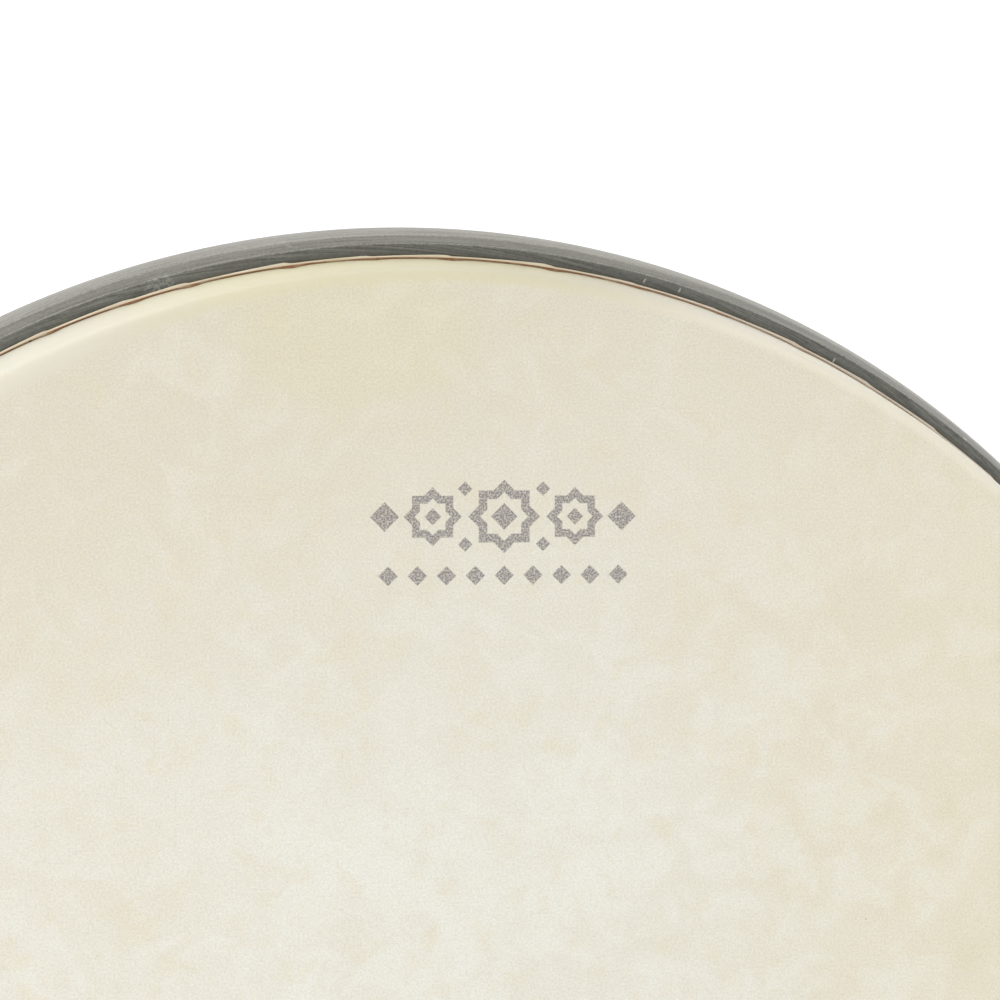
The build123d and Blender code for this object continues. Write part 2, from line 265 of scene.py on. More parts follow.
def turned(outline, columns, shift=None):
    """Points and faces of a closed outline turned about Z.

    The outline runs clockwise, with the radius to the right and Z up, so that the faces look out.
    shift(turn, radius, height) gives a change of radius, for marks that aren't turned."""
    turns = np.linspace(0, 2 * math.pi, columns, endpoint=False)
    radius, height = (np.array(side)[:, None] for side in zip(*outline))
    radius = np.repeat(radius, columns, axis=1)
    height = np.repeat(height, columns, axis=1)
    if shift:
        radius = radius + shift(turns[None, :], radius, height)
    points = np.stack((radius * np.cos(turns), radius * np.sin(turns), height), axis=2)
    kept = radius > 0
    kept[:, 0] = True  # a row on the axis is a single point
    index = np.cumsum(kept).reshape(kept.shape) - 1
    below, beside = np.roll(index, -1, axis=0), np.roll(index, -1, axis=1)
    quads = np.stack((index, below, np.roll(below, -1, axis=1), beside), axis=2).reshape(-1, 4)
    faces = [list(dict.fromkeys(quad)) for quad in quads.tolist()]
    return points[kept], [face for face in faces if len(face) > 2]


def capped(rows, columns):
    """Points and faces of a solid on Z, closed at both ends.

    Each row is (radius, height), where a radius may be a function of the turn.
    The rows run up the outside, so that the faces look out."""
    turns = np.linspace(0, 2 * math.pi, columns, endpoint=False)
    points = []
    for radius, height in rows:
        radius = radius(turns) if callable(radius) else np.full(columns, radius)
        height = np.full(columns, height)
        points.extend(zip(radius * np.cos(turns), radius * np.sin(turns), height))
    points = np.array(points)
    faces = []
    for row in range(len(rows) - 1):
        for column in range(columns):
            here, beside = row * columns + column, row * columns + (column + 1) % columns
            faces.append((here, beside, beside + columns, here + columns))
    last = (len(rows) - 1) * columns
    faces.append(tuple(range(columns))[::-1])
    faces.append(tuple(range(last, last + columns)))
    return points, faces


def subtract(piece, cutters):
    """Cuts closed meshes out of a piece."""
    for cutter in cutters:
        modifier = piece.modifiers.new("cut", "BOOLEAN")
        modifier.object = cutter
        modifier.solver = "EXACT"
    depsgraph = bpy.context.evaluated_depsgraph_get()
    cut = bpy.data.meshes.new_from_object(piece.evaluated_get(depsgraph))
    piece.modifiers.clear()
    piece.data = cut
    for cutter in cutters:
        bpy.data.objects.remove(cutter)


# ---------------------------------------------------------------- shader arithmetic


class Field:
    """A number that varies over a surface: a shader socket that takes plain arithmetic."""

    def __init__(self, shading, socket):
        self.shading = shading
        self.socket = socket

    def math(self, operation, *others):
        node = self.shading.nodes.new("ShaderNodeMath")
        node.operation = operation
        for place, value in enumerate((self, *others)):
            self.shading.feed(node.inputs[place], value)
        return Field(self.shading, node.outputs[0])

    def __add__(self, other):
        return self.math("ADD", other)

    def __sub__(self, other):
        return self.math("SUBTRACT", other)

    def __mul__(self, other):
        return self.math("MULTIPLY", other)

    def abs(self):
        return self.math("ABSOLUTE")

    def either(self, other):
        """The larger of two masks."""
        return self.math("MAXIMUM", other)

    def both(self, other):
        """The smaller of two masks."""
        return self.math("MINIMUM", other)

    def rise(self, low, high):
        """0 below one value and 1 above another, with a smooth step between. It falls if low is larger."""
        node = self.shading.nodes.new("ShaderNodeMapRange")
        node.interpolation_type = "SMOOTHSTEP"
        self.shading.links.new(self.socket, node.inputs["Value"])
        node.inputs["From Min"].default_value = min(low, high)
        node.inputs["From Max"].default_value = max(low, high)
        node.inputs["To Min"].default_value = 0.0 if low < high else 1.0
        node.inputs["To Max"].default_value = 1.0 if low < high else 0.0
        return Field(self.shading, node.outputs["Result"])


class Shading:
    """A node tree while its nodes are laid."""

    def __init__(self, tree):
        self.nodes = tree.nodes
        self.links = tree.links

    def feed(self, socket, value):
        """Sets a socket to a number, or links a field to it."""
        if isinstance(value, Field):
            self.links.new(value.socket, socket)
        else:
            socket.default_value = value

    def fields(self, vector):
        """The three parts of a vector socket."""
        parts = self.nodes.new("ShaderNodeSeparateXYZ")
        self.links.new(vector, parts.inputs[0])
        return [Field(self, socket) for socket in parts.outputs]

    def colours(self, field, *stops):
        """A colour socket that follows a field through (value, colour) stops."""
        node = self.nodes.new("ShaderNodeValToRGB")
        self.links.new(field.socket, node.inputs["Fac"])
        ramp = node.color_ramp
        for place, (value, colour) in enumerate(stops):
            if place >= len(ramp.elements):
                ramp.elements.new(value)
            ramp.elements[place].position = value
            ramp.elements[place].color = (*colour, 1)
        return node.outputs["Color"]

    def mix(self, field, below, above, blend="MIX"):
        """One colour where the field is 0 and another where it is 1."""
        node = self.nodes.new("ShaderNodeMix")
        node.data_type = "RGBA"
        node.blend_type = blend
        self.links.new(field.socket, node.inputs["Factor"])
        for name, colour in (("A", below), ("B", above)):
            socket = [s for s in node.inputs if s.name == name and s.type == "RGBA"][0]
            if isinstance(colour, tuple):
                socket.default_value = (*colour, 1)
            else:
                self.links.new(colour, socket)
        return [s for s in node.outputs if s.type == "RGBA"][0]


class Paint(Shading):
    """One procedural material while its nodes are laid."""

    def __init__(self, name, **settings):
        self.material = bpy.data.materials.new(name)
        self.material.use_nodes = True
        super().__init__(self.material.node_tree)
        self.shader = self.nodes["Principled BSDF"]
        for key, value in settings.items():
            self.shader.inputs[key.replace("_", " ")].default_value = value
        where = self.nodes.new("ShaderNodeTexCoord").outputs["Object"]
        scaled = self.nodes.new("ShaderNodeVectorMath")
        scaled.operation = "SCALE"
        scaled.inputs["Scale"].default_value = 1 / MM
        self.links.new(where, scaled.inputs[0])
        self.place = scaled.outputs[0]
        self.x, self.y, self.z = self.fields(self.place)

    def radius(self):
        """Distance from the drum's axis, in millimetres."""
        return (self.x * self.x + self.y * self.y).math("SQRT")

    def vector(self, x, y, z):
        """Three fields as one vector socket."""
        node = self.nodes.new("ShaderNodeCombineXYZ")
        for place, value in enumerate((x, y, z)):
            self.feed(node.inputs[place], value)
        return node.outputs[0]

    def turned_place(self, along_turn):
        """Places that change fast across a turned surface and slowly round it, as a tool's marks do."""
        radius = self.radius()
        round_x = self.x.math("DIVIDE", radius) * along_turn
        round_y = self.y.math("DIVIDE", radius) * along_turn
        return self.vector(radius + round_x, round_y, self.z)

    def noise(self, scale, detail=2.0, roughness=0.5, distortion=0.0, place=None):
        """Noise about 0.5, with its scale in features per millimetre."""
        node = self.nodes.new("ShaderNodeTexNoise")
        self.links.new(place or self.place, node.inputs["Vector"])
        node.inputs["Scale"].default_value = scale
        node.inputs["Detail"].default_value = detail
        node.inputs["Roughness"].default_value = roughness
        node.inputs["Distortion"].default_value = distortion
        return Field(self, node.outputs["Fac"])

    def cells(self, scale):
        """Distance to the nearest of many scattered points."""
        node = self.nodes.new("ShaderNodeTexVoronoi")
        self.links.new(self.place, node.inputs["Vector"])
        node.inputs["Scale"].default_value = scale
        return Field(self, node.outputs["Distance"])

    def colour(self, socket):
        self.links.new(socket, self.shader.inputs["Base Color"])

    def roughness(self, field):
        self.links.new(field.socket, self.shader.inputs["Roughness"])

    def relief(self, field, depth):
        """Bumps from a field, with their depth in millimetres for a change of 1."""
        node = self.nodes.new("ShaderNodeBump")
        node.inputs["Strength"].default_value = 1.0
        node.inputs["Distance"].default_value = depth * MM
        self.links.new(field.socket, node.inputs["Height"])
        self.links.new(node.outputs["Normal"], self.shader.inputs["Normal"])


# ---------------------------------------------------------------- materials

# The printed ornament on the head. A half is half the width of a star or a lozenge.
MARK_CENTRE = (7.2, 77.0)
MARK_EDGE = 0.07  # softness of the print's edge
STARS_UP = 1.9  # height of the row of stars over the ornament's middle
LARGE_STAR = (3.0, 2.0, 1.1)  # halves of the star, the hole in it and the lozenge in the hole
SMALL_STAR = (2.4, 1.5, 0.7)
SMALL_STARS_OUT = 8.4
END_LOZENGES_OUT = 14.0
END_LOZENGE = 1.2
DOTS_OUT = 4.6
DOTS_UP = 3.2
DOT = 0.6
LOWER_ROW_DOWN = 4.9
LOWER_ROW_REACH = 15.3
LOWER_ROW_GAP = 3.4
LOWER_LOZENGE = 0.8

# Single marks, as (centre, half length, half width, slant in degrees from X)
SPECK = ((51.4, 30.6), 0.14, 0.12, 0.0)  # rust-coloured, in the film
# a pale patch of painted light on the film, towards the front left
PAINTED_LIGHT_PATCH = ((-46.0, 32.0), 48.0, 38.0, 0.0)
YELLOW_AREA = ((-10.0, 100.0), 19.0, 12.0, 0.0)
SCUFF = ((-31.5, 105.7), 2.4, 1.3, 17.0)  # on the hoop's flat top
NICKS = [(place, 0.42, 0.14, 60.0) for place in ((50.7, 97.7), (26.6, 107.1), (31.0, 106.0))]

CREAM = (0.835, 0.815, 0.730)


def mark(paint, centre, half_length, half_width, slant):
    """Mask of a small soft oval, slanted from X by a number of degrees."""
    x, y = paint.x - centre[0], paint.y - centre[1]
    turn = math.radians(slant)
    far = (x * math.cos(turn) + y * math.sin(turn)) * (1 / half_length)
    side = (y * math.cos(turn) - x * math.sin(turn)) * (1 / half_width)
    return (far * far + side * side).math("SQRT").rise(1.0, 0.5)


def square(x, y, half):
    """Distance outside an upright square."""
    return x.abs().either(y.abs()) - half


def lozenge(x, y, half):
    """Distance outside a square that stands on its corner."""
    return (x.abs() + y.abs()) * math.sqrt(0.5) - half


def star(x, y, half):
    """Distance outside an eight-pointed star, made of an upright square and a lozenge."""
    return square(x, y, half).both(lozenge(x, y, half))


def ringed_star(x, y, half, hole, dot):
    """Distance outside a hollow star with a lozenge in its middle."""
    ring = star(x, y, half).either(star(x, y, hole) * -1)
    return ring.both(lozenge(x, y, dot))


def ornament(paint):
    """Mask of the printed ornament: a row of eight-pointed stars over a row of lozenges."""
    x, y = paint.x - MARK_CENTRE[0], paint.y - MARK_CENTRE[1]
    up = y - STARS_UP
    shapes = ringed_star(x, up, *LARGE_STAR)
    shapes = shapes.both(ringed_star(x.abs() - SMALL_STARS_OUT, up, *SMALL_STAR))
    shapes = shapes.both(lozenge(x.abs() - END_LOZENGES_OUT, up, END_LOZENGE))
    for row in (DOTS_UP, -DOTS_UP):
        shapes = shapes.both(lozenge(x.abs() - DOTS_OUT, up - row, DOT))
    turns = x.math("DIVIDE", LOWER_ROW_GAP) + 0.5
    repeat = (turns.math("FLOORED_MODULO", 1.0) - 0.5) * LOWER_ROW_GAP
    lower = lozenge(repeat, y + LOWER_ROW_DOWN, LOWER_LOZENGE).either(x.abs() - LOWER_ROW_REACH)
    return shapes.both(lower).rise(MARK_EDGE, -MARK_EDGE)


def film_tones_and_shade(paint, radius, fibres):
    """Cloudy creams of the film, with painted shade that makes it darker and yellower towards the rim, the
    far side and the right, and a pale patch of painted light towards the front left.
    """
    clouds = paint.noise(0.022, detail=3, roughness=0.55, distortion=0.4)
    patches = paint.noise(0.16, detail=4, roughness=0.6, distortion=1.0)
    yellowing = paint.noise(0.24, detail=3, roughness=0.6, distortion=0.6)
    far_side_shade = (paint.y - paint.x * 0.3).rise(30.0, 112.0)
    right_side_shade = paint.x.rise(15.0, 105.0)
    base = paint.colours(clouds, (0.36, (0.790, 0.745, 0.620)), (0.62, CREAM))
    base = paint.mix(patches.rise(0.40, 0.66) * 0.60, base, (0.875, 0.865, 0.795))
    # painted light: a paler patch towards the front left
    base = paint.mix(mark(paint, *PAINTED_LIGHT_PATCH) * 0.3, base, (0.880, 0.870, 0.800))
    # painted shade: the film is made darker and yellower towards the rim, the far side and the right
    base = paint.mix(radius.rise(40.0, 112.0) * 0.60, base, (0.815, 0.762, 0.640))
    base = paint.mix(far_side_shade * 0.50, base, (0.695, 0.645, 0.510))
    base = paint.mix(right_side_shade * 0.45, base, (0.840, 0.775, 0.550))
    base = paint.mix(patches.rise(0.52, 0.70) * 0.25, base, CREAM)
    base = paint.mix(yellowing.rise(0.50, 0.72) * 0.32, base, (0.775, 0.700, 0.510))
    base = paint.mix(mark(paint, *YELLOW_AREA) * 0.3, base, (0.765, 0.712, 0.470))
    return paint.mix(fibres.rise(0.50, 0.74) * 0.32, base, (0.700, 0.645, 0.510))


def collar_tones_and_light(paint, spread):
    """Tones of the collar, partly painted light: duller on the left as painted shade and lighter on the
    right as painted light, to make up for how the lamps fall on it, yellower in the middle, where its crown
    is made darker and cooler as painted shade.
    """
    off_middle = (paint.x + 5.0).abs()
    # painted light and shade: duller on the left, lighter on the right, to even out the lamps on the collar
    collar = paint.mix(paint.x.rise(-45.0, 50.0), (0.720, 0.690, 0.570), (0.880, 0.825, 0.690))
    collar = paint.mix(off_middle.rise(42.0, 12.0), collar, (0.780, 0.722, 0.495))
    # painted shade: the crown in the middle is made darker and cooler
    crown = spread.rise(CROWN_FLAT_R + 2.8, CROWN_FLAT_R + 1.6) * off_middle.rise(45.0, 22.0)
    return paint.mix(crown, collar, (0.925, 0.925, 0.945), "MULTIPLY")


def film_material():
    """Cream calf-look film: fine grain, faint fibres, a printed ornament and a yellower collar whose tones
    are partly painted light and shade.
    """
    paint = Paint("calf_look_film", Roughness=0.5, Subsurface_Weight=0.12, IOR=1.48)
    paint.shader.inputs["Subsurface Radius"].default_value = (1.2, 0.9, 0.5)
    paint.shader.inputs["Subsurface Scale"].default_value = 0.6 * MM
    radius = paint.radius()
    fibres = paint.noise(0.55, detail=5, roughness=0.7, distortion=3.0)
    grain = paint.noise(3.8, detail=3, roughness=0.85)
    base = film_tones_and_shade(paint, radius, fibres)
    base = paint.mix(grain.rise(0.32, 0.68), base, (0.845, 0.845, 0.835), "MULTIPLY")
    speckle = paint.noise(4.6, detail=2, roughness=0.8).rise(0.36, 0.58)
    inked = ornament(paint) * (speckle * 0.75 + 0.25)
    base = paint.mix(inked, base, (0.240, 0.218, 0.216))
    base = paint.mix(mark(paint, *SPECK) * 0.8, base, (0.550, 0.230, 0.060))
    spread = radius + paint.x.rise(-15.0, -50.0) * 1.2  # the collar's tones and painted light start farther in on the left
    # the collar's tones, partly painted light, are mixed in over the film here
    collar_tone_and_light_mask = spread.rise(CROWN_FLAT_R - 0.3, CROWN_FLAT_R + 1.1)
    paint.colour(paint.mix(collar_tone_and_light_mask * 0.90, base, collar_tones_and_light(paint, spread)))
    paint.roughness(grain * 0.2 + 0.42)
    paint.relief(grain + fibres * 0.6, 0.02)
    return paint.material


def resin_material():
    """Cream resin with a broken brown line where it meets the film, partly amber glue and partly painted
    shade of the crevice there.
    """
    paint = Paint("cream_resin", Roughness=0.35, IOR=1.52)
    radius = paint.radius()
    stain = paint.noise(0.25, detail=3, roughness=0.7)
    base = paint.colours(stain, (0.3, (0.600, 0.520, 0.380)), (0.7, (0.730, 0.660, 0.510)))
    base = paint.mix(paint.x.rise(5.0, 45.0) * 0.6, base, (0.800, 0.710, 0.620))
    # painted shade: the brown line stands partly for the shade in the crevice between film and resin
    line = radius.rise(SEAM_R + 0.26, SEAM_R + 0.14) * (stain.rise(0.28, 0.55) * 0.65 + 0.35)
    base = paint.mix(line * (paint.x.rise(60.0, 20.0) * 0.5 + 0.5), base, (0.290, 0.120, 0.057))
    drops = paint.cells(0.3).rise(0.10, 0.05) * radius.rise(SEAM_R + 0.22, SEAM_R + 0.12)
    paint.colour(paint.mix(drops, base, (0.060, 0.012, 0.008)))
    paint.relief(paint.noise(3.0, detail=2), 0.02)
    return paint.material


def turned_metal(name, dark, light, roughness, line_scale, line_depth, wear):
    """Turned metal: fine lines round the axis, soft stains and rubbed patches."""
    paint = Paint(name, Metallic=1.0)
    lines = paint.noise(line_scale, detail=5, roughness=0.75, place=paint.turned_place(6.0))
    stain = paint.noise(0.05, detail=4, roughness=0.6, distortion=0.5)
    base = paint.colours(lines * 0.6 + stain * 0.4, (0.32, dark), (0.68, light))
    rubbed = paint.noise(0.35, detail=5, roughness=0.8, distortion=1.2).rise(0.60, 0.72)
    base = paint.mix(rubbed * wear, base, tuple(min(1.0, part * 1.25) for part in light))
    paint.colour(base)
    noise_share = 0.17  # what lines and stains add on average
    paint.roughness(lines * 0.2 + stain * 0.15 + (roughness - noise_share))
    paint.relief(lines, line_depth)
    return paint.material


def hoop_top(paint, radius, fine, speck):
    """Tones of the hoop's flat top, darker towards the resin."""
    grime = fine * 0.65 + speck * 0.35
    top = paint.colours(grime, (0.38, (0.205, 0.21, 0.183)), (0.62, (0.400, 0.400, 0.358)))
    return paint.mix(radius.rise(LAND_R - 0.5, GROOVE_OUT_R) * 0.6, top, (0.135, 0.133, 0.112))


def hoop_wall(paint, lines, speck):
    """Tones of the hoop's leaning wall, darker above its step."""
    grime = lines * 0.5 + speck * 0.5
    lower = paint.colours(grime, (0.38, (0.19, 0.185, 0.155)), (0.62, (0.390, 0.380, 0.335)))
    upper = paint.colours(grime, (0.38, (0.12, 0.117, 0.099)), (0.62, (0.265, 0.258, 0.224)))
    return paint.mix(paint.z.rise(WALL_STEP - 0.12, WALL_STEP + 0.12), lower, upper)


def hoop_material():
    """Dull turned aluminium: flat top and streaked wall, painted highlights along its edges, scuffs and
    nicks.
    """
    paint = Paint("hoop_aluminium", Metallic=1.0)
    radius = paint.radius()
    lines = paint.noise(1.7, detail=4, roughness=0.7, place=paint.turned_place(5.0))
    fine = paint.noise(6.0, detail=3, roughness=0.7, place=paint.turned_place(9.0))
    speck = paint.noise(2.6, detail=4, roughness=0.8)
    on_wall = radius.rise(LAND_R - 0.14, LAND_R - 0.06)
    base = paint.mix(on_wall, hoop_top(paint, radius, fine, speck), hoop_wall(paint, lines, speck))
    # painted highlights: thin light lines along the wall's step and the flat top's outer edge
    ridge_highlight = (paint.z - WALL_STEP).abs().rise(0.22, 0.08)
    edge = (radius - LAND_R).abs().rise(0.13, 0.07)
    lit = speck.rise(0.34, 0.66) * 0.70 + 0.05
    base = paint.mix(ridge_highlight.either(edge) * lit, base, (0.370, 0.362, 0.315))
    scuffs = paint.noise(0.22, detail=6, roughness=0.85, distortion=0.8).rise(0.60, 0.70)
    scuffs = scuffs.either(mark(paint, *SCUFF) * 0.9)
    base = paint.mix(scuffs * speck.rise(0.42, 0.58) * 0.5, base, (0.60, 0.60, 0.58))
    nicks = paint.cells(0.09).rise(0.055, 0.03)
    for nick in NICKS:
        nicks = nicks.either(mark(paint, *nick))
    paint.colour(paint.mix(nicks * 0.8, base, (0.80, 0.80, 0.78)))
    paint.roughness(fine * 0.2 + speck * 0.15 + 0.25)
    paint.relief(lines * 0.7 + fine * 0.3, 0.03)
    return paint.material


def rubber_material():
    """Black rubber with a fine grain and pale dust."""
    paint = Paint("black_rubber", Roughness=0.75, IOR=1.5)
    grain = paint.noise(2.5, detail=4, roughness=0.7)
    dust = paint.noise(0.08, detail=5, roughness=0.7)
    base = paint.colours(grain, (0.3, (0.018, 0.018, 0.019)), (0.7, (0.040, 0.040, 0.041)))
    paint.colour(paint.mix(dust.rise(0.5, 0.75) * 0.35, base, (0.120, 0.115, 0.105)))
    paint.roughness(grain * 0.25 + 0.6)
    paint.relief(grain, 0.05)
    return paint.material


def steel_material():
    """Zinc-plated steel, slightly mottled."""
    paint = Paint("zinc_plated_steel", Metallic=1.0)
    mottle = paint.noise(0.9, detail=4, roughness=0.65)
    base = paint.colours(mottle, (0.3, (0.38, 0.38, 0.385)), (0.7, (0.56, 0.56, 0.555)))
    paint.colour(base)
    paint.roughness(mottle * 0.25 + 0.2)
    paint.relief(paint.noise(5.0, detail=3), 0.015)
    return paint.material


def floor_material():
    """Pale floor with a very faint mottle, lit from below like a light table, more so far out."""
    paint = Paint("pale_floor", Roughness=0.7, Emission_Strength=1.0)
    mottle = paint.noise(0.004, detail=3)
    far = paint.radius().rise(250.0, 1500.0)
    glow = paint.mix(far, (0.26, 0.26, 0.26), (0.75, 0.75, 0.75))
    paint.links.new(glow, paint.shader.inputs["Emission Color"])
    paint.colour(paint.colours(mottle, (0.3, (0.86, 0.86, 0.86)), (0.7, (0.90, 0.90, 0.90))))
    return paint.material


# ---------------------------------------------------------------- pieces of the head


def crease_places():
    """Angle and strength of each crease round the collar, the same on every run."""
    draw = np.random.default_rng(CREASE_SEED)
    scatter = draw.uniform(-CREASE_SCATTER, CREASE_SCATTER, CREASES)
    turns = (np.arange(CREASES) + scatter) * CREASE_GAP
    strengths = draw.uniform(*CREASE_STRENGTH, CREASES)
    rough = 0.5 + 0.5 * np.cos(turns - ROUGHEST_SIDE)
    return turns, strengths * (SMOOTH_SIDE + (1 - SMOOTH_SIDE) * rough)


CREASE_TURNS, CREASE_STRENGTHS = crease_places()


def crease_shift(turn, radius, height):
    """Pulls the collar's foot in at each crease, fading out up the collar."""
    gap = (turn[..., None] - CREASE_TURNS + math.pi) % (2 * math.pi) - math.pi
    notch = (np.exp(-((gap / math.radians(CREASE_WIDTH)) ** 2)) * CREASE_STRENGTHS).sum(-1)
    fade = np.clip((LAND + CREASE_REACH - height) / CREASE_REACH, 0, 1) ** CREASE_FADE
    return -CREASE_DEPTH * notch * fade


def film_face(offset, shares):
    """Points down one face of the film, with the collar's at given shares of its run.

    The offset is 0 underneath and FILM on top."""
    crown = (CROWN_FLAT_R, HEAD - FILM - HEAD_GAP - CROWN_ROUND)
    crown_r = CROWN_ROUND + HEAD_GAP + offset
    bend_r = COLLAR_BEND - offset
    slope = 90 - COLLAR_ANGLE
    crown_end = along(crown, crown_r, slope)
    bend = along(along(crown_end, bend_r, slope), COLLAR_RUN, slope - 90)
    collar_end = along(bend, bend_r, 180 + slope)
    run = np.array(collar_end) - crown_end
    collar = [tuple(np.array(crown_end) + run * share) for share in shares]
    face = [(radius, crown[1] + crown_r) for radius in FACE_RADII]
    face += arc(crown, crown_r, 90, slope, CROWN_STEPS)
    face += collar
    face += arc(bend, bend_r, 180 + slope, 180, COLLAR_BEND_STEPS)
    face += [(bend[0] - bend_r, height) for height in np.linspace(bend[1], TAIL_END, TAIL_POINTS)[1:]]
    return face


def seam_radius():
    """Outer radius of the film where it passes the hoop's flat top."""
    face = film_face(FILM, np.linspace(0, 1, BEAD_COLLAR_STEPS + 1))[::-1]
    heights, radii = [z for _, z in face], [r for r, _ in face]
    return float(np.interp(LAND, heights, radii))


SEAM_R = seam_radius()


def make_film(material):
    shares = np.linspace(0, 1, FILM_COLLAR_STEPS + 1)[1:-1]
    outline = film_face(FILM, shares) + film_face(0, shares)[::-1]
    points, faces = turned(outline, HEAD_COLUMNS, crease_shift)
    return mesh_piece("calf_look_head", points, faces, "head", material, "head_film")


def notched_edge(turn):
    """How far the resin's edge spreads: it swells and then steps back at each crease."""
    past = (turn[..., None] - CREASE_TURNS) % (2 * math.pi) / CREASE_GAP
    nearest = past.argmin(-1)
    share = np.clip(np.take_along_axis(past, nearest[..., None], -1)[..., 0], 0, 1)
    step = np.clip(share * BEAD_STEEPNESS, 0, 1)
    return BEAD_SWELL * CREASE_STRENGTHS[nearest] * (1 - share) ** BEAD_FADE * step - BEAD_SHRINK


def bead_shift(turn, radius, height):
    """Notches the bead's edge over the hoop's top. Beside the film and below, it follows the creases."""
    over_edge = (height > LAND) & (radius > SEAM_R + BEAD_EDGE)
    creased = (radius < SEAM_R + BEAD_FILM_SIDE) | (height < LAND - BEAD_DEEP)
    spread = np.clip((radius - SEAM_R - BEAD_EDGE) / BEAD_EDGE_WIDTH, 0, 1) * notched_edge(turn)
    return np.where(over_edge, spread, np.where(creased, crease_shift(turn, radius, height), 0))


def make_resin(material):
    """The resin bead, which fills the hoop's groove up to the film on both its sides."""
    shares = np.linspace(0, 1, BEAD_COLLAR_STEPS + 1)[1:-1]
    film_out = [point for point in film_face(FILM, shares) if point[1] < LAND - BEAD_IN_DROP]
    film_in = [point for point in film_face(0, shares) if point[1] < GROOVE_LIP - BEAD_UNDER_DROP]
    outline = [(SEAM_R + out, LAND + up) for out, up in BEAD_TOP]
    outline += [
        (GROOVE_OUT_R - RESIN_GAP, LAND - BEAD_OUT_DROP),
        (GROOVE_OUT_R - RESIN_GAP, GROOVE_FLOOR + RESIN_GAP),
        (GROOVE_IN_R + RESIN_GAP, GROOVE_FLOOR + RESIN_GAP),
        (GROOVE_IN_R + RESIN_GAP, GROOVE_LIP),
    ]
    outline += film_in + film_out[::-1]
    points, faces = turned(outline, HEAD_COLUMNS, bead_shift)
    return mesh_piece("resin_bead", points, faces, "head", material, "head_resin")


def hoop_outline():
    """The hoop's section: leaning wall with a fine step, groove, plain side and base."""
    chord = np.array((LAND_R - HOOP_R, LAND - HOOP_SHOULDER))
    half = np.linalg.norm(chord) / 2
    normal = np.array((-chord[1], chord[0])) / (2 * half)
    centre = (np.array((HOOP_R, HOOP_SHOULDER)) + chord / 2
              + normal * math.sqrt(HOOP_SHOULDER_ROUND**2 - half**2))
    low = math.degrees(math.atan2(HOOP_SHOULDER - centre[1], HOOP_R - centre[0]))
    high = math.degrees(math.atan2(LAND - centre[1], LAND_R - centre[0]))
    wall = arc(centre, HOOP_SHOULDER_ROUND, low, high, HOOP_WALL_STEPS)
    wall = [(r - WALL_STEP_DEPTH * (z > WALL_STEP), z) for r, z in wall]
    wall[-1] = (LAND_R + LAND_BEVEL_LEAN, LAND - LAND_BEVEL_DROP)
    groove = [
        (LAND_R - LAND_BEVEL, LAND),
        (GROOVE_OUT_R + LAND_BEVEL, LAND),
        (GROOVE_OUT_R, LAND - LAND_BEVEL_DROP),
        (GROOVE_OUT_R, GROOVE_FLOOR),
        (GROOVE_IN_R, GROOVE_FLOOR),
        (GROOVE_IN_R, GROOVE_LIP - LIP_BEVEL),
        (GROOVE_IN_R - LIP_BEVEL, GROOVE_LIP),
        (HOOP_BORE_R + LIP_BEVEL, GROOVE_LIP),
        (HOOP_BORE_R, GROOVE_LIP - LIP_BEVEL),
    ]
    base = [
        (HOOP_BORE_R, HOOP_BASE + BASE_BEVEL_IN),
        (HOOP_BORE_R + BASE_BEVEL_IN, HOOP_BASE),
        (HOOP_R - BASE_BEVEL_OUT, HOOP_BASE),
        (HOOP_R, HOOP_BASE + BASE_BEVEL_OUT),
    ]
    return (wall + groove + base)[::-1]


def screw_place(number):
    """Centre of a tuning screw, in millimetres, with the first on +X."""
    turn = 2 * math.pi * number / SCREWS
    return np.array((SCREW_CIRCLE_R * math.cos(turn), SCREW_CIRCLE_R * math.sin(turn), 0.0))


def screw_hole_cutters():
    """A stepped peg for each blind hole: wide for the thread insert, narrow above it."""
    rows = [
        (INSERT_R, HOOP_BASE - HOLE_PEG_OUT),
        (INSERT_R, INSERT_TOP),
        (INSERT_BORE_R, INSERT_TOP),
        (INSERT_BORE_R, HOOP_HOLE_END),
    ]
    peg, faces = capped(rows, HOLE_COLUMNS)
    return [linked_object("screw_hole", peg + screw_place(number), faces) for number in range(SCREWS)]


def make_hoop(material):
    points, faces = turned(hoop_outline(), HOOP_COLUMNS)
    hoop = mesh_piece("turned_hoop", points, faces, "head", material, "tension_ring")
    subtract(hoop, screw_hole_cutters())
    return hoop


# ---------------------------------------------------------------- screws


def key_hexagon(turns):
    """Radius of the hexagonal key recess."""
    beside = (turns + math.pi / 6) % (math.pi / 3) - math.pi / 6
    return KEY_ACROSS_FLATS / 2 / np.cos(beside)


def key_bevel(turns):
    """Radius of the key recess's bevelled edge."""
    return key_hexagon(turns) + KEY_BEVEL


def knurled(turns):
    """Radius of the knurled side of a screw's head."""
    return SCREW_HEAD_R - KNURL_DEPTH * (0.5 + 0.5 * np.cos(KNURLS * turns))


def threaded(height):
    """Radius of the thread at a height, as a function of the turn."""

    def radius(turns):
        phase = (height / PITCH - turns / (2 * math.pi)) % 1
        flank = np.clip(np.abs(phase - 0.5) * FLANK_SLOPE - FLANK_START, 0, 1)
        return SCREW_R - THREAD_DEPTH * flank

    return radius


